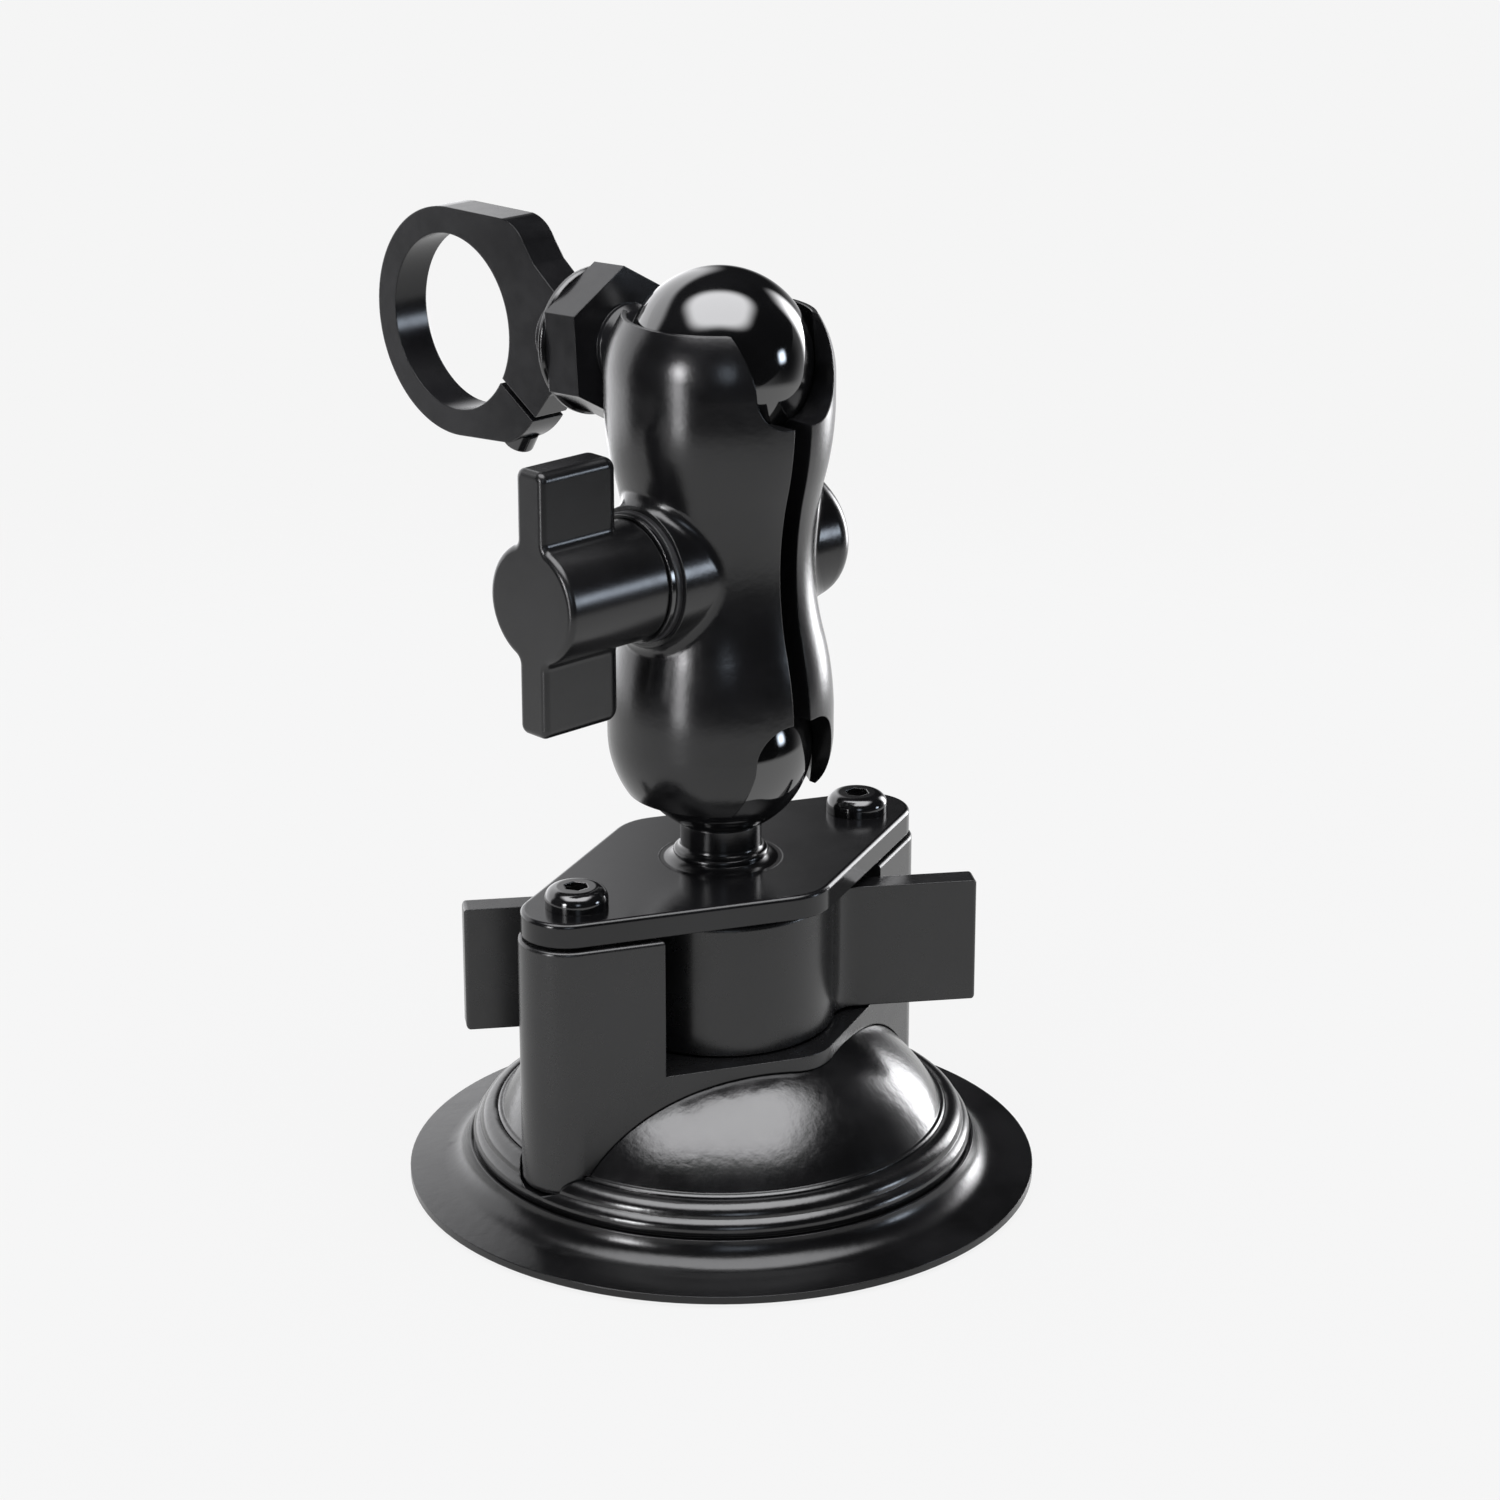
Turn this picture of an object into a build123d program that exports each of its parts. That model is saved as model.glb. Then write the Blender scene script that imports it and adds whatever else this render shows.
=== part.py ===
"""Double-socket ball arm on a twist-lock suction base, with a split ring clamp for a 25.4 mm bar.

Frame: origin at the centre of the suction face, +Z up, +X along the diamond plate and along the
axis of the wing knob, +Y towards the ring clamp. Everything is in millimetres.
"""
import math
import os

from build123d import *

os.makedirs("parts", exist_ok=True)

# ---------------------------------------------------------------- driving dimensions
BALL_R = 12.7                 # one-inch mounting balls
BALL_FIT = 0.05               # radial play between a ball and its socket or its core
LOWER_Z = 64.2                # centre of the lower ball
BALL_SPACING = 54.0           # from one ball to the other
UPPER_Z = LOWER_Z + BALL_SPACING
MID_Z = LOWER_Z + BALL_SPACING / 2
DROOP_DEG = 3.9               # how far the clamp's stem hangs below the horizontal at rest

# suction cup, ring and dome
CUP_R = 44.4
RIM_TOP = 1.55
MEMBRANE_TOP = 4.0            # rubber disc under the dome
SEAT_TOP = 4.8                # rubber shelf that carries the ring and the dome
COLLAR_R = 35.9
COLLAR_TOP = 5.6
DOME_R = 31.8
DOME_EDGE_Z = 10.3
DOME_FOOT_R = 31.1            # the curve starts inside a narrow lip
DOME_MID = (25.7, 17.0)       # a point half way up the curve
DOME_FLAT_R = 17.8
DOME_FLAT_Z = 21.9
DOME_WALL = 2.3

# housing and diamond plate
END_X = 28.3                  # centre of each rounded end of the diamond
END_R = 6.4
MID_Y = 11.1                  # centre of each rounded middle corner of the diamond
MID_R = 8.0
HOUSING_GROW = 0.4            # the housing stands this far proud of the plate
LEG_BOTTOM = 7.2
SILL_TOP = 23.5
HOUSING_TOP = 43.35
WINDOW_X = 20.5               # half width of the lever's window
PLATE_BOTTOM = 43.95
PLATE_TOP = 47.3
SCREW_X = 26.67               # half of the 53.3 mm screw spacing

# twist lever
BARREL_R = 16.0
BARREL_BOTTOM = 23.8
BARREL_TOP = 42.8
WING_TIP_R = 36.2
WING_T = 3.6
WING_DEG = -34.4
LEVER_TRAVEL_DEG = 110.0
STUD_LIFT = 3.0

# arm
ARM_GAP = 3.3                 # between the two halves
SPLIT_X = 0.7                 # middle of that gap; the front half is the deeper one
RIM_OFFSET = 6.35             # from a ball's centre to the arm's rim
RIM_R = 13.1
SOCKET_R = BALL_R + BALL_FIT
SHOULDER_R = 15.6
SHOULDER_OFFSET = 1.8         # widest from this far inside each ball's centre
SHOULDER_LENGTH = 3.0         # straight part next to each shoulder
WAIST_R = 12.8
BOLT_R = 3.0
FRONT_BOSS_R = 9.65
FRONT_BOSS_X = 15.0
BACK_BOSS_R = 9.1
BACK_BOSS_X = 17.4
BACK_BOSS_ROUND = 3.2
BOSS_ROOT_ROUND = 2.0

# wing knob
KNOB_FACE_X = 33.8
KNOB_BACK_X = 16.9
HUB_R = 8.3
KNOB_HALF_HEIGHT = 18.2
KNOB_WING_T = 5.4
KNOB_WING_DEPTH = 13.6

# ball stud and ring clamp, measured along the stem from the upper ball's centre
NECK_R = 5.0
HEX_START = 18.3
HEX_END = 24.45
HEX_FLATS = 19.0
RING_CENTRE = 53.1
BAR_R = 12.7                  # bar that the ring clamps
RING_R = 16.5
RING_T = 5.7
SLIT_DEG = 215.5
SLIT_W = 0.95
PINCH_R = 1.5

# The stem leaves the upper ball along +Y, drooping a little.
stem_origin = Vector(0, 0, UPPER_Z)
stem_along = Vector(0, 1, 0).rotate(Axis.X, -DROOP_DEG)
stem_up = Vector(0, 0, 1).rotate(Axis.X, -DROOP_DEG)
stem_lathe = Plane(stem_origin, x_dir=(1, 0, 0), z_dir=stem_up)
stem_face = Plane(stem_origin, x_dir=stem_along, z_dir=(1, 0, 0))


def across_stem(distance):
    """Plane square to the stem, this far from the upper ball's centre."""
    return Plane(stem_origin + stem_along * distance, x_dir=(1, 0, 0), z_dir=stem_along)


def diamond(end_r, mid_r):
    """Outline of the plate and the housing, drawn in the current sketch."""
    with Locations((END_X, 0), (-END_X, 0)):
        Circle(end_r)
    with Locations((0, MID_Y), (0, -MID_Y)):
        Circle(mid_r)
    make_hull()


# ---------------------------------------------------------------- suction base
with BuildPart() as suction_cup:
    with BuildSketch(Plane.XZ) as cup_profile:
        with BuildLine():
            Polyline(
                (0, MEMBRANE_TOP), (0, 0), (CUP_R - 1.0, 0), (CUP_R, 0.5), (CUP_R, RIM_TOP),
                (CUP_R - 4.9, RIM_TOP + 0.55),
            )
            ThreePointArc(
                (CUP_R - 4.9, RIM_TOP + 0.55),
                (COLLAR_R + 1.35, RIM_TOP + 1.45),
                (COLLAR_R, COLLAR_TOP),
            )
            Polyline(
                (COLLAR_R, COLLAR_TOP), (COLLAR_R - 0.35, COLLAR_TOP), (COLLAR_R - 0.45, SEAT_TOP),
                (DOME_R - 3.1, SEAT_TOP), (DOME_R - 3.6, MEMBRANE_TOP), (0, MEMBRANE_TOP),
            )
        make_face()
    revolve(axis=Axis.Z)
suction_cup.part.label = "suction_cup"
export_step(suction_cup.part, "parts/suction_cup.step")

# A round-backed ring that presses the rubber down outside the dome.
RING_OUT_R = COLLAR_R - 0.6
FIT = 0.12
NOTCH_FIT = 0.3
with BuildPart() as pressure_ring:
    with BuildSketch(Plane.XZ):
        with BuildLine():
            Polyline(
                (RING_OUT_R - 0.2, COLLAR_TOP), (RING_OUT_R - 0.2, SEAT_TOP),
                (DOME_R + 0.1, SEAT_TOP), (DOME_R + 0.1, DOME_EDGE_Z - 0.4),
            )
            ThreePointArc(
                (DOME_R + 0.1, DOME_EDGE_Z - 0.4),
                (DOME_R + 1.75, DOME_EDGE_Z - 0.75),
                (DOME_R + 2.55, DOME_EDGE_Z - 2.3),
            )
            ThreePointArc(
                (DOME_R + 2.55, DOME_EDGE_Z - 2.3),
                (RING_OUT_R, COLLAR_TOP + 1.35),
                (RING_OUT_R - 0.2, COLLAR_TOP),
            )
        make_face()
    revolve(axis=Axis.Z)
    # Notches that keep the housing's legs from turning.
    with BuildSketch(Plane.XY.offset(LEG_BOTTOM - FIT)):
        diamond(END_R + HOUSING_GROW + NOTCH_FIT, MID_R + HOUSING_GROW + NOTCH_FIT)
    extrude(amount=DOME_EDGE_Z, mode=Mode.SUBTRACT)
pressure_ring.part.label = "pressure_ring"
export_step(pressure_ring.part, "parts/pressure_ring.step")

STUD_HOLE = 8.0
with BuildPart() as cup_dome:
    with BuildSketch(Plane.XZ):
        with BuildLine():
            Polyline(
                (DOME_R, SEAT_TOP), (DOME_R, DOME_EDGE_Z - 0.25), (DOME_R - 0.25, DOME_EDGE_Z),
                (DOME_FOOT_R, DOME_EDGE_Z),
            )
            ThreePointArc((DOME_FOOT_R, DOME_EDGE_Z), DOME_MID, (DOME_FLAT_R, DOME_FLAT_Z))
            Polyline(
                (DOME_FLAT_R, DOME_FLAT_Z), (0, DOME_FLAT_Z), (0, DOME_FLAT_Z - DOME_WALL),
                (DOME_FLAT_R - 1.2, DOME_FLAT_Z - DOME_WALL),
            )
            ThreePointArc(
                (DOME_FLAT_R - 1.2, DOME_FLAT_Z - DOME_WALL),
                (DOME_MID[0] - 1.8, DOME_MID[1] - 1.7),
                (DOME_R - DOME_WALL, DOME_EDGE_Z - 1.2),
            )
            Polyline(
                (DOME_R - DOME_WALL, DOME_EDGE_Z - 1.2), (DOME_R - DOME_WALL, SEAT_TOP),
                (DOME_R, SEAT_TOP),
            )
        make_face()
    revolve(axis=Axis.Z)
    with BuildSketch(Plane.XY.offset(DOME_FLAT_Z - DOME_WALL - 1)):
        Rectangle(STUD_HOLE, STUD_HOLE)
    extrude(amount=DOME_WALL + 2, mode=Mode.SUBTRACT)
cup_dome.part.label = "cup_dome"
export_step(cup_dome.part, "parts/cup_dome.step")

# Two legs joined by a thin floor. The underside follows the dome and the ring.
INSERT_R = 3.2
INSERT_LENGTH = 12.0
with BuildPart() as housing:
    with BuildSketch(Plane.XY.offset(LEG_BOTTOM)):
        diamond(END_R + HOUSING_GROW, MID_R + HOUSING_GROW)
    extrude(amount=HOUSING_TOP - LEG_BOTTOM)
    fillet(housing.edges().group_by(Axis.Z)[-1], 0.5)
    fillet(housing.edges().group_by(Axis.Z)[0], 1.1)
    with BuildSketch(Plane.XZ):
        with BuildLine():
            Polyline(
                (0, DOME_FLAT_Z + FIT), (0, 0), (DOME_R + FIT, 0), (DOME_R + FIT, DOME_EDGE_Z + FIT),
                (DOME_FOOT_R + FIT, DOME_EDGE_Z + FIT),
            )
            ThreePointArc(
                (DOME_FOOT_R + FIT, DOME_EDGE_Z + FIT),
                (DOME_MID[0] + FIT, DOME_MID[1] + FIT),
                (DOME_FLAT_R + FIT, DOME_FLAT_Z + FIT),
            )
            Line((DOME_FLAT_R + FIT, DOME_FLAT_Z + FIT), (0, DOME_FLAT_Z + FIT))
        make_face()
    revolve(axis=Axis.Z, mode=Mode.SUBTRACT)
    with BuildSketch(Plane.XY.offset(SILL_TOP)):
        Rectangle(2 * WINDOW_X, 60)
    extrude(amount=HOUSING_TOP - SILL_TOP + 1, mode=Mode.SUBTRACT)
    with BuildSketch(Plane.XY.offset(SILL_TOP + 1)):
        Rectangle(STUD_HOLE, STUD_HOLE)
    extrude(amount=-5, mode=Mode.SUBTRACT)
    with BuildSketch(Plane.XY.offset(HOUSING_TOP)):
        with Locations((SCREW_X, 0), (-SCREW_X, 0)):
            Circle(INSERT_R)
    extrude(amount=-INSERT_LENGTH - 1, mode=Mode.SUBTRACT)
housing.part.label = "housing"
export_step(housing.part, "parts/housing.step")

SCREW_R = 2.0
with BuildPart() as leg_inserts:
    with BuildSketch(Plane.XY.offset(HOUSING_TOP)):
        with Locations((SCREW_X, 0), (-SCREW_X, 0)):
            Circle(INSERT_R)
            Circle(SCREW_R, mode=Mode.SUBTRACT)
    extrude(amount=-INSERT_LENGTH)
leg_inserts.part.label = "leg_inserts"
export_step(leg_inserts.part, "parts/leg_inserts.step")

# Plate, post and the core that holds the lower ball are one casting.
POST_R = 5.65
CORE_R = 4.0
CORE_TOP = LOWER_Z + 6.0
with BuildPart() as diamond_plate:
    with BuildSketch(Plane.XY.offset(PLATE_BOTTOM)):
        diamond(END_R, MID_R)
    extrude(amount=PLATE_TOP - PLATE_BOTTOM)
    fillet(diamond_plate.edges().group_by(Axis.Z)[-1], 0.6)
    with BuildSketch(Plane.XY.offset(PLATE_BOTTOM - 1)):
        with Locations((SCREW_X, 0), (-SCREW_X, 0)):
            Circle(SCREW_R + 0.2)
    extrude(amount=10, mode=Mode.SUBTRACT)
    with BuildSketch(Plane.XZ):
        with BuildLine():
            Polyline((0, PLATE_TOP - 0.5), (8.7, PLATE_TOP - 0.5), (8.7, PLATE_TOP + 0.02))
            ThreePointArc(
                (8.7, PLATE_TOP + 0.02), (7.1, PLATE_TOP + 0.25), (6.45, PLATE_TOP + 0.7)
            )
            ThreePointArc(
                (6.45, PLATE_TOP + 0.7), (6.65, PLATE_TOP + 1.15), (6.3, PLATE_TOP + 1.6)
            )
            ThreePointArc(
                (6.3, PLATE_TOP + 1.6), (POST_R + 0.15, PLATE_TOP + 1.9), (POST_R, PLATE_TOP + 2.6)
            )
            Polyline(
                (POST_R, PLATE_TOP + 2.6), (POST_R, LOWER_Z - 10.9), (CORE_R, LOWER_Z - 10.9),
                (CORE_R, CORE_TOP - 0.6), (CORE_R - 0.6, CORE_TOP), (0, CORE_TOP),
                (0, PLATE_TOP - 0.5),
            )
        make_face()
    revolve(axis=Axis.Z)
    # The post's shoulder is dished to sit just under the ball.
    with BuildSketch(Plane.XZ):
        with BuildLine():
            Line((CORE_R, LOWER_Z - 9), (CORE_R, LOWER_Z - 12.1))
            RadiusArc((CORE_R, LOWER_Z - 12.1), (POST_R + 2, LOWER_Z - 10.1), -SOCKET_R)
            Polyline(
                (POST_R + 2, LOWER_Z - 10.1), (POST_R + 2, LOWER_Z - 9), (CORE_R, LOWER_Z - 9)
            )
        make_face()
    revolve(axis=Axis.Z, mode=Mode.SUBTRACT)
diamond_plate.part.label = "diamond_plate"
export_step(diamond_plate.part, "parts/diamond_plate.step")

SCREW_HEAD_R = 4.35
SCREW_HEAD_H = 2.7
HEX_KEY_R = 1.75
with BuildPart() as plate_screws:
    with BuildSketch(Plane.XY.offset(PLATE_TOP)):
        with Locations((SCREW_X, 0), (-SCREW_X, 0)):
            Circle(SCREW_HEAD_R)
    extrude(amount=SCREW_HEAD_H)
    fillet(plate_screws.edges().group_by(Axis.Z)[-1], 1.7)
    with BuildSketch(Plane.XY.offset(PLATE_TOP)):
        with Locations((SCREW_X, 0), (-SCREW_X, 0)):
            Circle(SCREW_R)
    extrude(amount=-(PLATE_TOP - HOUSING_TOP) - INSERT_LENGTH + 1)
    with BuildSketch(Plane.XY.offset(PLATE_TOP + SCREW_HEAD_H)):
        with Locations((SCREW_X, 0), (-SCREW_X, 0)):
            RegularPolygon(HEX_KEY_R, 6)
    extrude(amount=-1.5, mode=Mode.SUBTRACT)
plate_screws.part.label = "plate_screws"
export_step(plate_screws.part, "parts/plate_screws.step")

with BuildPart() as lower_ball:
    with Locations((0, 0, LOWER_Z)):
        Sphere(BALL_R)
    with BuildSketch(Plane.XY.offset(LOWER_Z - BALL_R - 1)):
        Circle(CORE_R + BALL_FIT)
    extrude(amount=CORE_TOP + 0.1 - LOWER_Z + BALL_R + 1, mode=Mode.SUBTRACT)
lower_ball.part.label = "lower_ball"
export_step(lower_ball.part, "parts/lower_ball.step")

# ---------------------------------------------------------------- twist lever and its cam
CHAMBER_R = 12.2
CHAMBER_TOP = 40.4
WING_BOTTOM = 24.1
WING_TOP = 42.1
wing_plane = Plane((0, 0, 0), x_dir=Vector(1, 0, 0).rotate(Axis.Z, WING_DEG), z_dir=(0, 0, 1))
with BuildPart() as twist_lever:
    with BuildSketch(Plane.XY.offset(BARREL_BOTTOM)):
        Circle(BARREL_R)
    extrude(amount=BARREL_TOP - BARREL_BOTTOM)
    fillet(twist_lever.edges().group_by(Axis.Z)[-1], 0.65)
    fillet(twist_lever.edges().group_by(Axis.Z)[0], 0.25)
    with BuildSketch(wing_plane.offset(WING_BOTTOM)):
        Rectangle(2 * WING_TIP_R, WING_T)
    extrude(amount=WING_TOP - WING_BOTTOM)
    roots = (
        twist_lever.edges()
        .filter_by(Axis.Z)
        .filter_by(lambda e: math.hypot(e.center().X, e.center().Y) < BARREL_R + 1)
        .filter_by(lambda e: e.length < BARREL_TOP - BARREL_BOTTOM - 0.1)
    )
    fillet(roots, 4.0)
    tips = (
        twist_lever.edges()
        .filter_by(lambda e: math.hypot(e.center().X, e.center().Y) > WING_TIP_R - 0.5)
    )
    fillet(tips, 0.6)
    with BuildSketch(Plane.XY.offset(BARREL_BOTTOM)):
        Circle(CHAMBER_R)
    extrude(amount=CHAMBER_TOP - BARREL_BOTTOM, mode=Mode.SUBTRACT)
twist_lever.part.label = "twist_lever"
export_step(twist_lever.part, "parts/twist_lever.step")

# Cam ring in the lever's chamber: two ramps, each lifting one end of the cross pin.
CAM_IN_R = 7.6
CAM_MID_Z = 27.6
CAM_TOP = 31.4
RAMP_MEAN_R = 9.2
half_travel = math.radians(LEVER_TRAVEL_DEG / 2)
ramp_slope = math.atan(STUD_LIFT / 2 / (RAMP_MEAN_R * math.sin(half_travel)))
with BuildPart() as cam_ring:
    with BuildSketch(Plane.XY.offset(BARREL_BOTTOM + 0.3)):
        Circle(CHAMBER_R)
        Circle(CAM_IN_R, mode=Mode.SUBTRACT)
    extrude(amount=CAM_TOP - BARREL_BOTTOM - 0.3)
    for side_deg in (0, 180):
        ramp_deg = side_deg + LEVER_TRAVEL_DEG / 2
        outward = Vector(1, 0, 0).rotate(Axis.Z, ramp_deg)
        upward = Vector(0, 0, 1).rotate(Axis((0, 0, 0), outward), math.degrees(ramp_slope))
        ramp = Plane((0, 0, CAM_MID_Z), x_dir=outward, z_dir=upward)
        with BuildSketch(ramp):
            with Locations((10, 0)):
                Rectangle(20, 40)
        extrude(amount=12, mode=Mode.SUBTRACT)
cam_ring.part.label = "cam_ring"
export_step(cam_ring.part, "parts/cam_ring.step")

PIN_R = 1.5
PIN_Z = 28.6
STUD_SIDE = 7.4
FOOT_BOTTOM = MEMBRANE_TOP + 0.3
with BuildPart() as lift_stud:
    with BuildSketch(Plane.XY.offset(FOOT_BOTTOM)):
        Circle(11)
    extrude(amount=2.2)
    with BuildSketch(Plane.XY.offset(FOOT_BOTTOM)):
        RectangleRounded(STUD_SIDE, STUD_SIDE, 0.6)
    extrude(amount=PIN_Z + 4 - FOOT_BOTTOM)
    with BuildSketch(Plane.YZ.offset(-10)):
        with Locations((0, PIN_Z)):
            Circle(PIN_R)
    extrude(amount=20, mode=Mode.SUBTRACT)
lift_stud.part.label = "lift_stud"
export_step(lift_stud.part, "parts/lift_stud.step")

PIN_HALF = 10.6
with BuildPart() as cross_pin:
    with BuildSketch(Plane.YZ.offset(-PIN_HALF)):
        with Locations((0, PIN_Z)):
            Circle(PIN_R)
    extrude(amount=2 * PIN_HALF)
    chamfer(cross_pin.edges().filter_by(GeomType.CIRCLE), 0.3)
cross_pin.part.label = "cross_pin"
export_step(cross_pin.part, "parts/cross_pin.step")

# ---------------------------------------------------------------- arm
SPRING_POCKET_R = 5.4
SPRING_POCKET = 4.6           # depth in each half
BOLT_HEAD_R = 5.3
BOLT_SEAT_X = BACK_BOSS_X - 2.3
NOTCH_X = 1.1                 # centre of the openings for the balls' necks
NOTCH_HALF = 7.7
NOTCH_DEPTH = 6.4


def socket_profile(centre_z, out):
    """Half profile of a socket: round towards the arm's middle, slightly tapered to the rim."""
    rim_z = centre_z + out * (RIM_OFFSET + 1)
    with BuildSketch(Plane.XZ) as profile:
        with BuildLine():
            Line((0, rim_z), (0, centre_z - out * SOCKET_R))
            RadiusArc((0, centre_z - out * SOCKET_R), (SOCKET_R, centre_z), -out * SOCKET_R)
            Polyline((SOCKET_R, centre_z), (SOCKET_R - 0.4, rim_z), (0, rim_z))
        make_face()
    return profile.sketch


def notch_profile(centre_z, out):
    """Opening in the arm's edge for a ball's neck, seen along Y."""
    deep = centre_z - out * NOTCH_DEPTH
    mouth = centre_z + out * (RIM_OFFSET + 1)
    with BuildSketch(Plane.XZ) as profile:
        with BuildLine():
            left = NOTCH_X - NOTCH_HALF
            right = NOTCH_X + NOTCH_HALF
            FilletPolyline(
                (left - 1.3, mouth), (left, centre_z), (left + 0.4, deep),
                (right - 0.4, deep), (right, centre_z), (right + 1.3, mouth),
                radius=(3, 5, 5, 3),
            )
            Line((right + 1.3, mouth), (left - 1.3, mouth))
        make_face()
    return profile.sketch


def is_boss_root(edge, side, boss_r):
    """True for an edge along which a boss leaves the arm's curved side."""
    on_boss = all(
        abs(math.hypot((edge @ t).Y, (edge @ t).Z - MID_Z) - boss_r) < 0.01 for t in (0, 0.3, 0.6, 1)
    )
    free_form = edge.geom_type not in (GeomType.LINE, GeomType.CIRCLE)
    return on_boss and free_form and side * edge.center().X > 0


def arm_blank():
    """The arm's outer shape before it is split."""
    low_rim = LOWER_Z - RIM_OFFSET
    high_rim = UPPER_Z + RIM_OFFSET
    low_shoulder = LOWER_Z + SHOULDER_OFFSET
    high_shoulder = UPPER_Z - SHOULDER_OFFSET
    bend_r = (SHOULDER_R + WAIST_R) / 2
    bend_length = (MID_Z - low_shoulder - SHOULDER_LENGTH) / 2
    with BuildPart(mode=Mode.PRIVATE) as blank:
        with BuildSketch(Plane.XZ):
            with BuildLine():
                for z, rim, up in ((low_shoulder, low_rim, 1), (high_shoulder, high_rim, -1)):
                    straight_end = (SHOULDER_R, z + up * SHOULDER_LENGTH)
                    bend = (bend_r, MID_Z - up * bend_length)
                    Line((SHOULDER_R, z), straight_end)
                    TangentArc(straight_end, bend, tangent=(0, up))
                    TangentArc((WAIST_R, MID_Z), bend, tangent=(0, -up))
                    TangentArc((SHOULDER_R, z), (RIM_R, rim), tangent=(0, -up))
                Polyline((RIM_R, high_rim), (0, high_rim), (0, low_rim), (RIM_R, low_rim))
            make_face()
        revolve(axis=Axis.Z)
        with BuildSketch(Plane.YZ):
            with Locations((0, MID_Z)):
                Circle(FRONT_BOSS_R)
        extrude(amount=-FRONT_BOSS_X)
        with BuildSketch(Plane.YZ):
            with Locations((0, MID_Z)):
                Circle(BACK_BOSS_R)
        extrude(amount=BACK_BOSS_X)
        for side, boss_r in ((-1, FRONT_BOSS_R), (1, BACK_BOSS_R)):
            boss_root = blank.edges().filter_by(lambda e: is_boss_root(e, side, boss_r))
            fillet(boss_root, BOSS_ROOT_ROUND)
    return blank.part


blank = arm_blank()

with BuildPart() as arm_front_half:
    add(blank)
    with BuildSketch(Plane.YZ.offset(SPLIT_X - ARM_GAP / 2)):
        with Locations((0, MID_Z)):
            Rectangle(60, 100)
    extrude(amount=60, mode=Mode.SUBTRACT)
    for centre_z, out in ((LOWER_Z, -1), (UPPER_Z, 1)):
        revolve(socket_profile(centre_z, out), axis=Axis.Z, mode=Mode.SUBTRACT)
        extrude(notch_profile(centre_z, out), amount=30, both=True, mode=Mode.SUBTRACT)
    with BuildSketch(Plane.YZ):
        with Locations((0, MID_Z)):
            Circle(BOLT_R + 0.3)
    extrude(amount=-40, mode=Mode.SUBTRACT)
    with BuildSketch(Plane.YZ.offset(SPLIT_X)):
        with Locations((0, MID_Z)):
            Circle(SPRING_POCKET_R)
    extrude(amount=-ARM_GAP / 2 - SPRING_POCKET, mode=Mode.SUBTRACT)
arm_front_half.part.label = "arm_front_half"
export_step(arm_front_half.part, "parts/arm_front_half.step")

with BuildPart() as arm_back_half:
    add(blank)
    with BuildSketch(Plane.YZ.offset(SPLIT_X + ARM_GAP / 2)):
        with Locations((0, MID_Z)):
            Rectangle(60, 100)
    extrude(amount=-60, mode=Mode.SUBTRACT)
    for centre_z, out in ((LOWER_Z, -1), (UPPER_Z, 1)):
        revolve(socket_profile(centre_z, out), axis=Axis.Z, mode=Mode.SUBTRACT)
        extrude(notch_profile(centre_z, out), amount=30, both=True, mode=Mode.SUBTRACT)
    fillet(
        arm_back_half.edges()
        .filter_by(GeomType.CIRCLE)
        .filter_by_position(Axis.X, BACK_BOSS_X - 0.01, BACK_BOSS_X + 0.01),
        BACK_BOSS_ROUND,
    )
    with BuildSketch(Plane.YZ):
        with Locations((0, MID_Z)):
            Circle(BOLT_R)
    extrude(amount=40, mode=Mode.SUBTRACT)
    with BuildSketch(Plane.YZ.offset(SPLIT_X)):
        with Locations((0, MID_Z)):
            Circle(SPRING_POCKET_R)
    extrude(amount=ARM_GAP / 2 + SPRING_POCKET, mode=Mode.SUBTRACT)
    with BuildSketch(Plane.YZ.offset(BOLT_SEAT_X)):
        with Locations((0, MID_Z)):
            Circle(BOLT_HEAD_R)
    extrude(amount=5, mode=Mode.SUBTRACT)
arm_back_half.part.label = "arm_back_half"
export_step(arm_back_half.part, "parts/arm_back_half.step")

# Round-headed bolt: the head sits in the back boss, the shank ends inside the knob.
BOLT_END_X = 29.5
BOLT_HEAD_H = 2.8
with BuildPart() as clamp_bolt:
    with BuildSketch(Plane.YZ.offset(BOLT_SEAT_X)):
        with Locations((0, MID_Z)):
            Circle(BOLT_HEAD_R)
    extrude(amount=BOLT_HEAD_H)
    fillet(clamp_bolt.edges().sort_by(Axis.X)[-1], BOLT_HEAD_H - 0.7)
    with BuildSketch(Plane.YZ.offset(BOLT_SEAT_X)):
        with Locations((0, MID_Z)):
            Circle(BOLT_R)
    extrude(amount=-BOLT_END_X - BOLT_SEAT_X)
    chamfer(clamp_bolt.edges().sort_by(Axis.X)[0], 0.6)
clamp_bolt.part.label = "clamp_bolt"
export_step(clamp_bolt.part, "parts/clamp_bolt.step")

SPRING_MEAN_R = 4.3
SPRING_WIRE_R = 0.5
SPRING_HALF = SPRING_POCKET + ARM_GAP / 2 - 0.8
with BuildPart() as arm_spring:
    with BuildLine() as coil:
        Helix(
            pitch=2.1, height=2 * SPRING_HALF, radius=SPRING_MEAN_R,
            center=(SPLIT_X - SPRING_HALF, 0, MID_Z), direction=(1, 0, 0),
        )
    with BuildSketch(Plane(coil.line @ 0, z_dir=coil.line % 0)):
        Circle(SPRING_WIRE_R)
    sweep(is_frenet=True)
arm_spring.part.label = "arm_spring"
export_step(arm_spring.part, "parts/arm_spring.step")

with BuildPart() as nylon_washer:
    with BuildSketch(Plane.YZ.offset(-FRONT_BOSS_X)):
        with Locations((0, MID_Z)):
            Circle(9.0)
            Circle(BOLT_R + 0.3, mode=Mode.SUBTRACT)
    extrude(amount=-0.85)
nylon_washer.part.label = "nylon_washer"
export_step(nylon_washer.part, "parts/nylon_washer.step")

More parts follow.
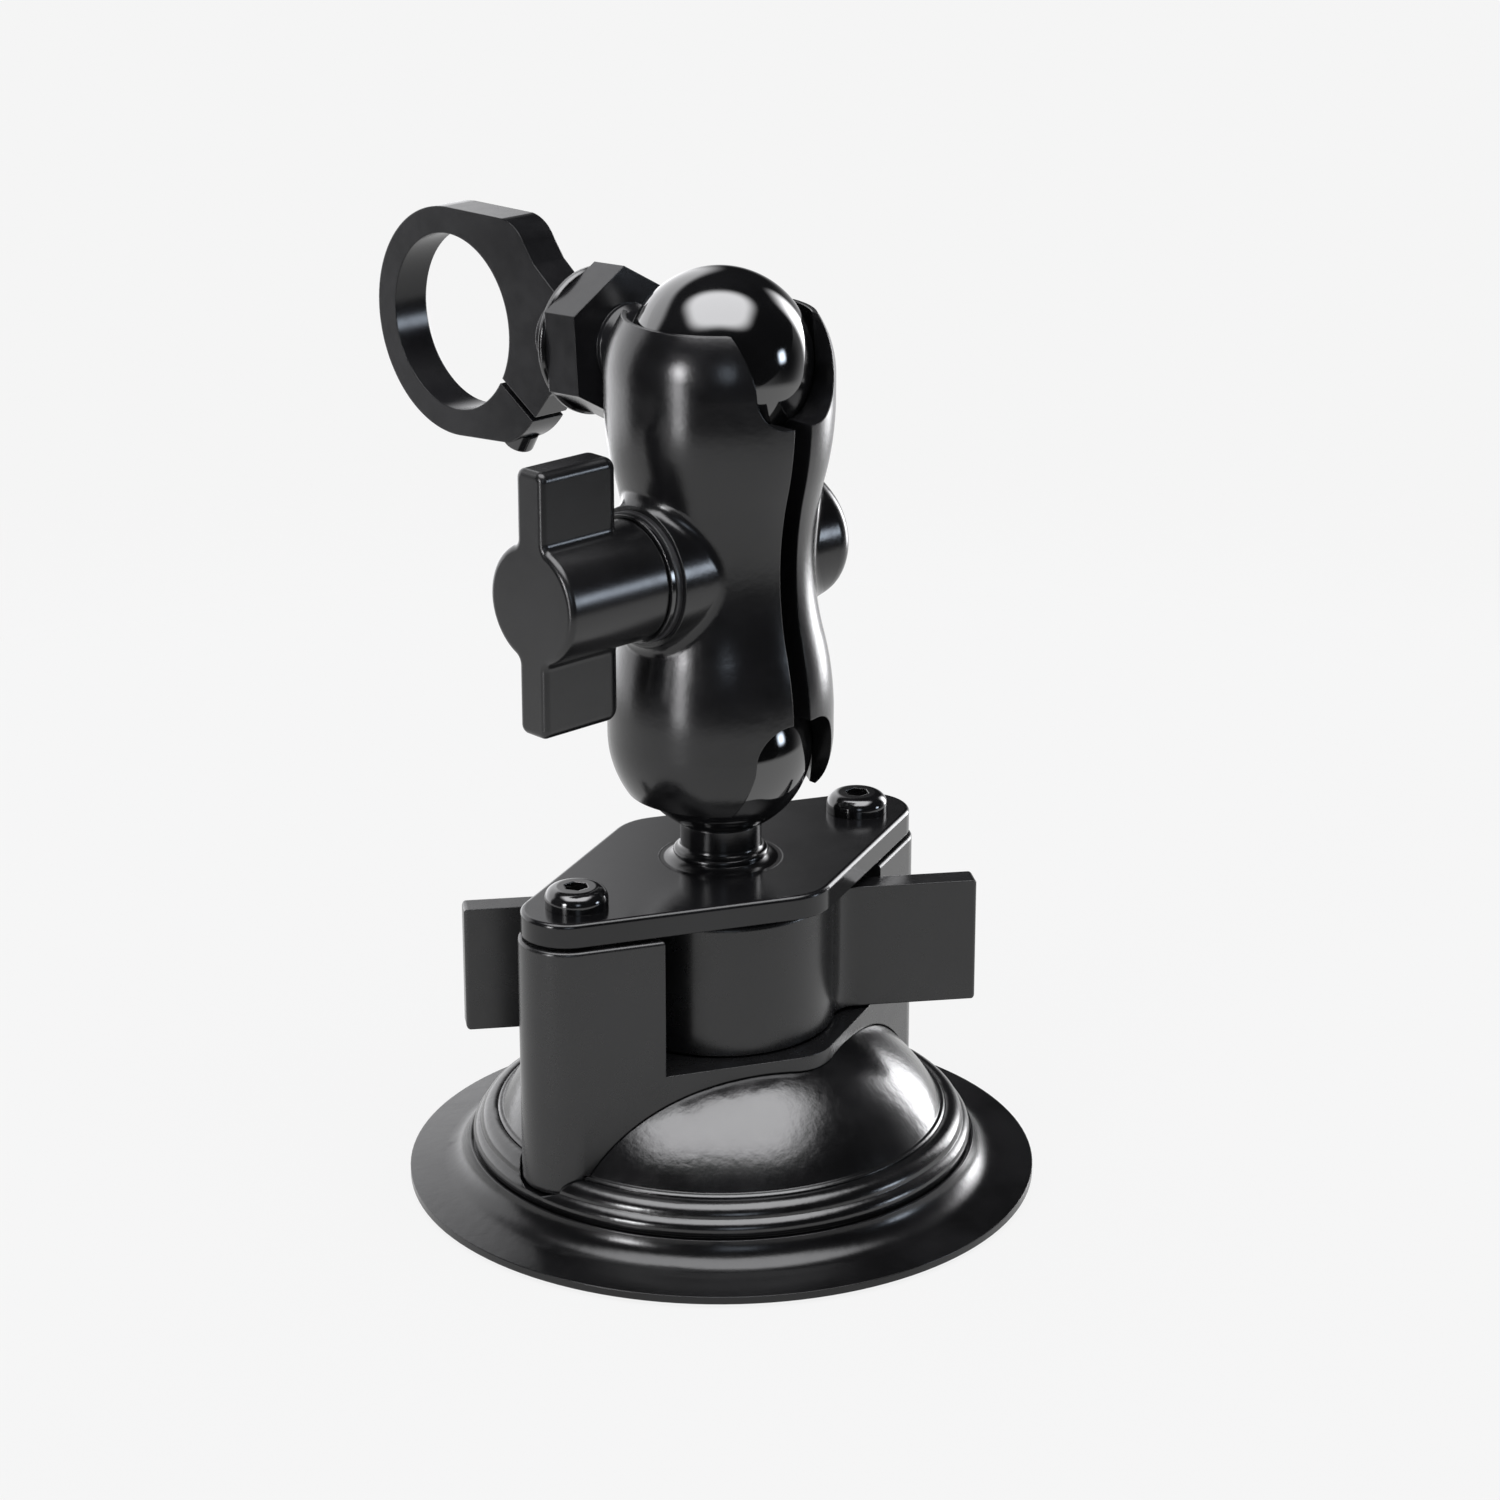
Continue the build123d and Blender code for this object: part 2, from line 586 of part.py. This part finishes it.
with BuildPart() as steel_washer:
    with BuildSketch(Plane.YZ.offset(-FRONT_BOSS_X - 0.9)):
        with Locations((0, MID_Z)):
            Circle(8.75)
            Circle(BOLT_R + 0.3, mode=Mode.SUBTRACT)
    extrude(amount=-0.75)
steel_washer.part.label = "steel_washer"
export_step(steel_washer.part, "parts/steel_washer.step")

# ---------------------------------------------------------------- wing knob
INSERT_BORE_R = BOLT_R + 0.05
KNOB_INSERT_R = 5.0
with BuildPart() as wing_knob:
    with BuildSketch(Plane.YZ.offset(-KNOB_FACE_X)) as knob_face:
        with Locations((0, MID_Z)):
            Circle(HUB_R)
            Rectangle(KNOB_WING_T, 2 * KNOB_HALF_HEIGHT)
        inner_corners = knob_face.vertices().filter_by(lambda v: abs(v.Z - MID_Z) < HUB_R)
        fillet(inner_corners, 2.0)
        outer_corners = knob_face.vertices().filter_by(lambda v: abs(v.Z - MID_Z) > KNOB_HALF_HEIGHT - 1)
        fillet(outer_corners, 1.3)
    extrude(amount=KNOB_WING_DEPTH)
    back_edges = (
        wing_knob.edges()
        .filter_by(Axis.Y)
        .filter_by_position(Axis.X, -KNOB_FACE_X + KNOB_WING_DEPTH - 0.1, 0)
    )
    fillet(back_edges, 2.2)
    fillet(wing_knob.faces().sort_by(Axis.X)[0].edges(), 0.9)
    with BuildSketch(Plane.YZ.offset(-KNOB_FACE_X + 2)):
        with Locations((0, MID_Z)):
            Circle(HUB_R)
    extrude(amount=KNOB_FACE_X - KNOB_BACK_X - 2)
    with BuildSketch(Plane.YZ.offset(-KNOB_BACK_X)):
        with Locations((0, MID_Z)):
            Circle(KNOB_INSERT_R)
    extrude(amount=-13.6, mode=Mode.SUBTRACT)
wing_knob.part.label = "wing_knob"
export_step(wing_knob.part, "parts/wing_knob.step")

with BuildPart() as knob_insert:
    with BuildSketch(Plane.YZ.offset(-KNOB_BACK_X - 0.1)):
        with Locations((0, MID_Z)):
            Circle(KNOB_INSERT_R)
            Circle(INSERT_BORE_R, mode=Mode.SUBTRACT)
    extrude(amount=-11)
knob_insert.part.label = "knob_insert"
export_step(knob_insert.part, "parts/knob_insert.step")

# ---------------------------------------------------------------- upper ball, stud and ring clamp
UPPER_CORE_R = 3.6
CORE_START = -6.0             # the core passes the ball's centre by this much
with BuildPart() as upper_ball:
    with Locations((0, 0, UPPER_Z)):
        Sphere(BALL_R)
    with BuildSketch(across_stem(CORE_START - 0.1)):
        Circle(UPPER_CORE_R + BALL_FIT)
    extrude(amount=BALL_R + 1 - CORE_START, mode=Mode.SUBTRACT)
upper_ball.part.label = "upper_ball"
export_step(upper_ball.part, "parts/upper_ball.step")

STUD_R = 2.5
STUD_END = 33.0
NECK_START = BALL_R - 0.3     # the neck's shoulder just clears the ball
with BuildPart() as ball_stud:
    with BuildSketch(stem_lathe):
        with BuildLine():
            Polyline(
                (0, CORE_START), (UPPER_CORE_R - 0.5, CORE_START), (UPPER_CORE_R, CORE_START + 0.5),
                (UPPER_CORE_R, NECK_START), (NECK_R, NECK_START), (NECK_R, HEX_START - 1.6),
                (NECK_R + 0.8, HEX_START - 0.7), (NECK_R + 0.8, HEX_START), (NECK_R, HEX_START),
                (NECK_R, HEX_END), (STUD_R, HEX_END), (STUD_R, STUD_END - 0.5),
                (STUD_R - 0.5, STUD_END), (0, STUD_END), (0, CORE_START),
            )
        make_face()
    revolve(axis=Axis(stem_origin, stem_along))
    with BuildSketch(across_stem(HEX_START)):
        RegularPolygon(HEX_FLATS / 2, 6, major_radius=False, rotation=30)
    extrude(amount=HEX_END - HEX_START)
ball_stud.part.label = "ball_stud"
export_step(ball_stud.part, "parts/ball_stud.step")

WASHER_T = 1.2
WASHER_R = 10.3
with BuildPart() as stud_washer:
    with BuildSketch(across_stem(HEX_END)):
        Circle(WASHER_R)
        Circle(STUD_R + 0.2, mode=Mode.SUBTRACT)
    extrude(amount=WASHER_T)
    chamfer(stud_washer.edges().filter_by(GeomType.CIRCLE).sort_by(SortBy.RADIUS)[-2:], 0.35)
stud_washer.part.label = "stud_washer"
export_step(stud_washer.part, "parts/stud_washer.step")

BOSS_START = HEX_END + WASHER_T
BOSS_R = 5.2
PINCH_ALONG = 17.6            # from the ring's centre, on the slit's line
PINCH_DEPTH = 6.5             # how far the screw reaches above the slit
PINCH_SEAT = 5.2              # underside of the screw's head
PINCH_HEAD_R = 2.35
PINCH_HEAD_H = 2.6
PINCH_FIT = 0.05
slit_angle = math.radians(SLIT_DEG)
slit_out = stem_along * math.cos(slit_angle) + stem_up * math.sin(slit_angle)
pinch_dir = stem_up * math.cos(slit_angle) - stem_along * math.sin(slit_angle)
pinch_origin = stem_origin + stem_along * RING_CENTRE + slit_out * PINCH_ALONG


def across_pinch(distance):
    """Plane square to the pinch screw, this far below the slit."""
    return Plane(pinch_origin + pinch_dir * distance, x_dir=(1, 0, 0), z_dir=pinch_dir)


with BuildPart() as ring_clamp:
    with BuildSketch(stem_face):
        with BuildLine():
            Polyline(
                (RING_CENTRE, RING_R), (40.4, RING_R - 0.6),
            )
            ThreePointArc((40.4, RING_R - 0.6), (37.6, 14.7), (35.9, 12.6))
            Polyline(
                (35.9, 12.6), (34.1, 10.0), (29.4, 6.0), (BOSS_START + 1.4, 4.6),
                (BOSS_START + 1.4, -4.6), (29.4, -6.0), (32.6, -8.4), (36.7, -12.7),
            )
            ThreePointArc((36.7, -12.7), (38.7, -14.5), (42.0, -RING_R + 0.3))
            Line((42.0, -RING_R + 0.3), (RING_CENTRE, -RING_R))
            ThreePointArc(
                (RING_CENTRE, -RING_R), (RING_CENTRE + RING_R, 0), (RING_CENTRE, RING_R)
            )
        make_face()
        with Locations((RING_CENTRE, 0)):
            Circle(BAR_R, mode=Mode.SUBTRACT)
        with Locations(Location((RING_CENTRE, 0, 0), (0, 0, SLIT_DEG))):
            with Locations((17, 0)):
                Rectangle(12, SLIT_W, mode=Mode.SUBTRACT)
    extrude(amount=RING_T / 2, both=True)
    with BuildSketch(across_stem(BOSS_START)):
        Circle(BOSS_R)
    extrude(amount=6.2)
    with BuildSketch(across_stem(BOSS_START)):
        Circle(STUD_R)
    extrude(amount=STUD_END + 0.5 - BOSS_START, mode=Mode.SUBTRACT)
    with BuildSketch(across_pinch(-PINCH_DEPTH - 0.5)):
        Circle(PINCH_R + PINCH_FIT)
    extrude(amount=PINCH_DEPTH + 20, mode=Mode.SUBTRACT)
    with BuildSketch(across_pinch(PINCH_SEAT - PINCH_FIT)):
        Circle(PINCH_HEAD_R + 0.1)
    extrude(amount=10, mode=Mode.SUBTRACT)
ring_clamp.part.label = "ring_clamp"
export_step(ring_clamp.part, "parts/ring_clamp.step")

with BuildPart() as pinch_screw:
    with BuildSketch(across_pinch(-PINCH_DEPTH)):
        Circle(PINCH_R)
    extrude(amount=PINCH_DEPTH + PINCH_SEAT + 0.5)
    with BuildSketch(across_pinch(PINCH_SEAT)):
        Circle(PINCH_HEAD_R)
    extrude(amount=PINCH_HEAD_H)
    with BuildSketch(across_pinch(PINCH_SEAT + PINCH_HEAD_H)):
        RegularPolygon(1.25, 6)
    extrude(amount=-1.4, mode=Mode.SUBTRACT)
pinch_screw.part.label = "pinch_screw"
export_step(pinch_screw.part, "parts/pinch_screw.step")
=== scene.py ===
"""Looks of the double-socket ball arm on its twist-lock suction base.

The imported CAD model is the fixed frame, and every piece of it is shown as it is. This script adds
the materials, the studio, the floor and the camera. Lengths are in metres.
"""
import math

import bmesh
import bpy
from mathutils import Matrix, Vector


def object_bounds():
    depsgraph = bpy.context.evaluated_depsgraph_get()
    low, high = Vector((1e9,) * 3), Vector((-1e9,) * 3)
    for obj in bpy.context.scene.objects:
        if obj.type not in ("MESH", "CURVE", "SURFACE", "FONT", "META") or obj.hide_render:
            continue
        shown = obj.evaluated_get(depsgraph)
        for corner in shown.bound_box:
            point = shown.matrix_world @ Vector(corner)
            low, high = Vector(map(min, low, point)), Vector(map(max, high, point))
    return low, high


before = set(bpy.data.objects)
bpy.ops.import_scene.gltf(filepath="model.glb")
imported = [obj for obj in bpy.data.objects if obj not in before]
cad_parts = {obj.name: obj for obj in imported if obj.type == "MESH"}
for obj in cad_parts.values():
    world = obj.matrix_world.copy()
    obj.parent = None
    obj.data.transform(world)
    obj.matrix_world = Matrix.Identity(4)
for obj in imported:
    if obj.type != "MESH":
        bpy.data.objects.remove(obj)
cad_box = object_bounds()

# ---------------------------------------------------------------- camera
VIEW_SIDE = -43.35            # degrees about +Z; 0 looks along +Y
VIEW_UP = 19.70
VIEW_DISTANCE = 0.56184
AIM = Vector((0.0036, -0.0021, 0.0626))
LENS = 97.46
SENSOR_WIDTH = 36.0
CLIP_START = 0.01


def view_direction(side_deg, up_deg):
    """Unit vector from the object, by azimuth from the camera's side (+ is camera right) and height."""
    side = math.radians(VIEW_SIDE + side_deg)
    up = math.radians(up_deg)
    return Vector((math.sin(side) * math.cos(up), -math.cos(side) * math.cos(up), math.sin(up)))


def add_camera():
    camera_data = bpy.data.cameras.new("camera")
    camera_data.lens = LENS
    camera_data.sensor_width = SENSOR_WIDTH
    camera_data.clip_start = CLIP_START
    camera = bpy.data.objects.new("camera", camera_data)
    back = view_direction(0, VIEW_UP)
    camera.location = AIM + back * VIEW_DISTANCE
    camera.rotation_euler = (-back).to_track_quat("-Z", "Y").to_euler()
    bpy.context.scene.collection.objects.link(camera)
    bpy.context.scene.camera = camera


add_camera()


# ---------------------------------------------------------------- node helpers
BEVEL_SAMPLES = 6


class Graph:
    """Short names for building a node tree."""

    def __init__(self, tree):
        self.tree = tree

    def node(self, kind, **settings):
        made = self.tree.nodes.new(kind)
        for name, value in settings.items():
            setattr(made, name, value)
        return made

    def feed(self, socket, value):
        if isinstance(value, bpy.types.NodeSocket):
            self.tree.links.new(value, socket)
        else:
            socket.default_value = value

    def math(self, operation, a, b=0.0, c=0.0):
        made = self.node("ShaderNodeMath", operation=operation)
        for index, value in enumerate((a, b, c)):
            self.feed(made.inputs[index], value)
        return made.outputs[0]

    def dot(self, a, b):
        made = self.node("ShaderNodeVectorMath", operation="DOT_PRODUCT")
        self.feed(made.inputs[0], a)
        self.feed(made.inputs[1], b)
        return made.outputs["Value"]

    def step(self, value, low, high, out_low=0.0, out_high=1.0):
        """Smooth step of value from low to high."""
        made = self.node("ShaderNodeMapRange", interpolation_type="SMOOTHSTEP")
        self.feed(made.inputs["Value"], value)
        limits = {"From Min": low, "From Max": high, "To Min": out_low, "To Max": out_high}
        for name, number in limits.items():
            self.feed(made.inputs[name], number)
        return made.outputs["Result"]

    def sum_of(self, vectors):
        """Sum of several vector sockets or constants."""
        total = vectors[0]
        for vector in vectors[1:]:
            add = self.node("ShaderNodeVectorMath", operation="ADD")
            self.feed(add.inputs[0], total)
            self.feed(add.inputs[1], vector)
            total = add.outputs[0]
        return total

    def noise(self, scale, detail=2.0, roughness=0.5, stretch=(1, 1, 1)):
        """Noise on the object's own coordinates; scale is in features per metre."""
        place = self.node("ShaderNodeTexCoord")
        mapping = self.node("ShaderNodeMapping")
        mapping.inputs["Scale"].default_value = stretch
        self.tree.links.new(place.outputs["Object"], mapping.inputs["Vector"])
        made = self.node("ShaderNodeTexNoise")
        self.tree.links.new(mapping.outputs["Vector"], made.inputs["Vector"])
        made.inputs["Scale"].default_value = scale
        made.inputs["Detail"].default_value = detail
        made.inputs["Roughness"].default_value = roughness
        return made.outputs["Fac"]

    def worn_edge(self, radius):
        """Normal rounded off within this distance of a sharp edge."""
        made = self.node("ShaderNodeBevel", samples=BEVEL_SAMPLES)
        made.inputs["Radius"].default_value = radius
        return made.outputs["Normal"]

    def bump(self, height, strength, distance, normal=None):
        made = self.node("ShaderNodeBump")
        made.inputs["Strength"].default_value = strength
        made.inputs["Distance"].default_value = distance
        self.feed(made.inputs["Height"], height)
        if normal is not None:
            self.tree.links.new(normal, made.inputs["Normal"])
        return made.outputs["Normal"]

    def mix_colour(self, factor, low, high):
        made = self.node("ShaderNodeMix", data_type="RGBA")
        self.feed(made.inputs["Factor"], factor)
        self.feed(made.inputs[6], (*low, 1))
        self.feed(made.inputs[7], (*high, 1))
        return made.outputs[2]


# ---------------------------------------------------------------- studio
PAPER = 0.913                 # brightness of the background


CORNER_POWER = 3.0            # 2 is an ellipse; larger is squarer


def softbox(graph, direction, side_deg, up_deg, half_wide, half_high, strength, colour, soft):
    """A soft-edged panel in the world, square to the given direction; half sizes are in degrees."""
    axis = view_direction(side_deg, up_deg)
    across = Vector((-axis.y, axis.x, 0)).normalized()
    above = axis.cross(across)
    parts = []
    for sideways, half in ((across, half_wide), (above, half_high)):
        share = graph.math("DIVIDE", graph.dot(direction, sideways), math.sin(math.radians(half)))
        parts.append(graph.math("POWER", graph.math("ABSOLUTE", share), CORNER_POWER))
    reach = graph.math("POWER", graph.math("ADD", *parts), 1 / CORNER_POWER)
    inside = graph.step(reach, 1.0, 1.0 - soft)
    ahead = graph.math("GREATER_THAN", graph.dot(direction, axis), 0.0)
    amount = graph.math("MULTIPLY", graph.math("MULTIPLY", inside, ahead), strength)
    glow = graph.node("ShaderNodeVectorMath", operation="SCALE")
    glow.inputs[0].default_value = colour
    graph.feed(glow.inputs["Scale"], amount)
    return glow.outputs[0]


WHITE = (1.0, 1.0, 1.02)
COOL = (0.82, 0.93, 1.08)
SOFTBOXES = (
    # side, up, half wide, half high, strength, colour, softness
    (0, 80, 40, 31, 6.0, WHITE, 0.35),       # overhead panel
    (-41, -10, 9, 34, 8.0, WHITE, 0.7),      # tall strip, left of the camera
    (-41, 14, 10, 10, 26.0, WHITE, 0.9),     # hot middle of that strip
    (8, 16, 11, 11, 3.0, COOL, 0.9),         # weak light by the camera
    (83, 5, 8, 8, 13.0, COOL, 0.8),          # round lamp on the right
    (137, 3, 16, 36, 13.0, WHITE, 0.9),      # strip behind, on the right
    (-138, 5, 43, 41, 1.8, WHITE, 0.2),     # bright wall, left and behind
    (180, -60, 89, 70, 0.9, WHITE, 0.2),     # pale ground beyond the floor
)
ROOM = 0.012                  # light from everywhere else


def make_studio():
    world = bpy.data.worlds.new("studio")
    world.use_nodes = True
    tree = world.node_tree
    tree.nodes.clear()
    graph = Graph(tree)
    place = graph.node("ShaderNodeTexCoord")
    direction = place.outputs["Generated"]
    panels = [softbox(graph, direction, *settings) for settings in SOFTBOXES]
    lights = graph.node("ShaderNodeBackground")
    tree.links.new(graph.sum_of([*panels, (ROOM, ROOM, ROOM)]), lights.inputs["Color"])
    paper = graph.node("ShaderNodeBackground")
    paper.inputs["Color"].default_value = (PAPER, PAPER, PAPER, 1)
    path = graph.node("ShaderNodeLightPath")
    mix = graph.node("ShaderNodeMixShader")
    tree.links.new(path.outputs["Is Camera Ray"], mix.inputs[0])
    tree.links.new(lights.outputs[0], mix.inputs[1])
    tree.links.new(paper.outputs[0], mix.inputs[2])
    out = graph.node("ShaderNodeOutputWorld")
    tree.links.new(mix.outputs[0], out.inputs["Surface"])
    bpy.context.scene.world = world
    bpy.context.scene.view_settings.view_transform = "Standard"
    bpy.context.scene.view_settings.look = "None"


make_studio()

FLOOR_R = 0.38
FLOOR_FADE = 0.12
FLOOR_GLOW = 0.865
FLOOR_ALBEDO = 0.03
FLOOR_SEGMENTS = 128
FLOOR_GAP = 0.0001            # the floor lies this far under the cup


def make_floor():
    mesh = bpy.data.meshes.new("floor")
    bm = bmesh.new()
    bmesh.ops.create_circle(bm, cap_ends=True, radius=FLOOR_R, segments=FLOOR_SEGMENTS)
    bm.to_mesh(mesh)
    bm.free()
    floor = bpy.data.objects.new("floor", mesh)
    floor.location.z = cad_box[0][2] - FLOOR_GAP
    bpy.context.scene.collection.objects.link(floor)
    material = bpy.data.materials.new("floor")
    material.use_nodes = True
    tree = material.node_tree
    tree.nodes.clear()
    graph = Graph(tree)
    place = graph.node("ShaderNodeTexCoord")
    length = graph.node("ShaderNodeVectorMath", operation="LENGTH")
    tree.links.new(place.outputs["Object"], length.inputs[0])
    fade = graph.step(length.outputs["Value"], FLOOR_R - FLOOR_FADE, FLOOR_R)
    glow = graph.node("ShaderNodeEmission")
    glow.inputs["Color"].default_value = (1, 1, 1, 1)
    glow.inputs["Strength"].default_value = FLOOR_GLOW
    matt = graph.node("ShaderNodeBsdfDiffuse")
    matt.inputs["Color"].default_value = (FLOOR_ALBEDO, FLOOR_ALBEDO, FLOOR_ALBEDO, 1)
    add = graph.node("ShaderNodeAddShader")
    tree.links.new(glow.outputs[0], add.inputs[0])
    tree.links.new(matt.outputs[0], add.inputs[1])
    clear = graph.node("ShaderNodeBsdfTransparent")
    mix = graph.node("ShaderNodeMixShader")
    tree.links.new(fade, mix.inputs[0])
    tree.links.new(add.outputs[0], mix.inputs[1])
    tree.links.new(clear.outputs[0], mix.inputs[2])
    out = graph.node("ShaderNodeOutputMaterial")
    tree.links.new(mix.outputs[0], out.inputs["Surface"])
    mesh.materials.append(material)


make_floor()


# ---------------------------------------------------------------- materials
EDGE_R = 0.00022              # how far a sharp edge looks rounded off
LOW_NOISE = 0.35              # the noise mostly lies between these two
HIGH_NOISE = 0.65
FINE_TIMES = 9                # the fine patches are this much smaller
PATCH_SHARE = 0.6             # share of the large patches in the roughness


def surface(name, low, high, rough, rough_spread, ior=1.5, metallic=0.0, patch=60.0, peel=None,
            grain=None, brushed=None):
    """A principled material: colour and roughness vary in patches, with orange peel and grain as bump."""
    material = bpy.data.materials.new(name)
    material.use_nodes = True
    tree = material.node_tree
    graph = Graph(tree)
    shader = tree.nodes["Principled BSDF"]
    patches = graph.noise(patch, detail=4.0, roughness=0.6)
    colour = graph.mix_colour(graph.step(patches, LOW_NOISE, HIGH_NOISE), low, high)
    tree.links.new(colour, shader.inputs["Base Color"])
    fine = graph.noise(patch * FINE_TIMES, detail=3.0, roughness=0.6)
    large_share = graph.math("MULTIPLY", patches, PATCH_SHARE)
    fine_share = graph.math("MULTIPLY", fine, 1 - PATCH_SHARE)
    wear = graph.step(graph.math("ADD", large_share, fine_share), LOW_NOISE, HIGH_NOISE,
                      rough - rough_spread, rough + rough_spread)
    tree.links.new(wear, shader.inputs["Roughness"])
    shader.inputs["IOR"].default_value = ior
    shader.inputs["Metallic"].default_value = metallic
    normal = graph.worn_edge(EDGE_R)
    for layer in (peel, grain):
        if layer:
            scale, strength, distance = layer
            normal = graph.bump(graph.noise(scale), strength, distance, normal)
    if brushed:
        scale, strength, distance, stretch = brushed
        normal = graph.bump(graph.noise(scale, 3.0, 0.6, stretch), strength, distance, normal)
    tree.links.new(normal, shader.inputs["Normal"])
    return material


BLACK = (0.0032, 0.0032, 0.0035)
MATERIALS = {
    "powder_coat": surface("powder_coat", BLACK, (0.0060, 0.0060, 0.0066), 0.21, 0.03, ior=1.52,
                           patch=45, peel=(1300, 0.10, 0.00012), grain=(5200, 0.05, 0.00004)),
    "plate_coat": surface("plate_coat", BLACK, (0.0062, 0.0062, 0.0068), 0.17, 0.03, ior=1.48,
                          patch=45, grain=(4800, 0.07, 0.00003)),
    "ball_rubber": surface("ball_rubber", (0.0025, 0.0025, 0.0028), (0.005, 0.005, 0.0055), 0.07, 0.02,
                           ior=1.95, patch=60, grain=(2500, 0.02, 0.00003)),
    "knob_plastic": surface("knob_plastic", (0.004, 0.004, 0.0043), (0.0072, 0.0072, 0.0077), 0.24, 0.025,
                            ior=1.52, patch=40, grain=(6000, 0.035, 0.00002)),
    "housing_plastic": surface("housing_plastic", (0.005, 0.005, 0.0053), (0.0085, 0.0085, 0.009), 0.27,
                               0.03, ior=1.55, patch=40, grain=(5200, 0.05, 0.00002)),
    "dome_plastic": surface("dome_plastic", (0.0025, 0.0025, 0.0027), (0.005, 0.005, 0.0054), 0.19, 0.03,
                            ior=1.68, patch=50, peel=(900, 0.14, 0.0002), grain=(3200, 0.08, 0.00005)),
    "ring_plastic": surface("ring_plastic", (0.0025, 0.0025, 0.0027), (0.005, 0.005, 0.0054), 0.20, 0.03,
                            ior=1.60, patch=50, peel=(900, 0.10, 0.0002), grain=(3200, 0.06, 0.00005)),
    "cup_rubber": surface("cup_rubber", (0.0025, 0.0025, 0.0027), (0.0055, 0.0055, 0.006), 0.23, 0.03,
                          ior=1.45, patch=40, peel=(700, 0.05, 0.0003), grain=(2600, 0.09, 0.00006)),
    "clamp_metal": surface("clamp_metal", (0.006, 0.006, 0.0066), (0.010, 0.010, 0.011), 0.20, 0.03,
                           ior=1.42, patch=60, grain=(6000, 0.08, 0.00002)),
    "black_steel": surface("black_steel", (0.003, 0.003, 0.0032), (0.007, 0.007, 0.0075), 0.10, 0.03,
                           ior=1.75, patch=150, grain=(3000, 0.04, 0.00003)),
    "bright_steel": surface("bright_steel", (0.50, 0.50, 0.51), (0.66, 0.66, 0.67), 0.22, 0.05,
                            metallic=1.0, patch=200, brushed=(2500, 0.06, 0.00002, (1, 6, 1))),
    "brass": surface("brass", (0.60, 0.44, 0.20), (0.74, 0.56, 0.28), 0.28, 0.05, metallic=1.0, patch=200,
                     brushed=(2500, 0.05, 0.00002, (1, 1, 5))),
    "nylon": surface("nylon", (0.015, 0.015, 0.016), (0.03, 0.03, 0.032), 0.35, 0.05, patch=200,
                     grain=(4000, 0.08, 0.00003)),
    "cam_plastic": surface("cam_plastic", (0.52, 0.52, 0.50), (0.62, 0.62, 0.60), 0.4, 0.05, patch=120,
                           grain=(4000, 0.06, 0.00003)),
}
FINISH = {
    "arm_front_half": "powder_coat", "arm_back_half": "powder_coat", "diamond_plate": "plate_coat",
    "lower_ball": "ball_rubber", "upper_ball": "ball_rubber", "wing_knob": "knob_plastic",
    "housing": "housing_plastic", "twist_lever": "housing_plastic", "cup_dome": "dome_plastic",
    "pressure_ring": "ring_plastic", "suction_cup": "cup_rubber", "ring_clamp": "clamp_metal",
    "ball_stud": "clamp_metal", "plate_screws": "black_steel", "clamp_bolt": "black_steel",
    "pinch_screw": "black_steel", "stud_washer": "black_steel", "steel_washer": "black_steel",
    "lift_stud": "bright_steel", "cross_pin": "bright_steel", "arm_spring": "bright_steel",
    "leg_inserts": "brass", "knob_insert": "brass", "nylon_washer": "nylon", "cam_ring": "cam_plastic",
}
for node_name, node_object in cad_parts.items():
    mesh = node_object.data
    mesh.materials.clear()
    mesh.materials.append(MATERIALS[FINISH[node_name]])
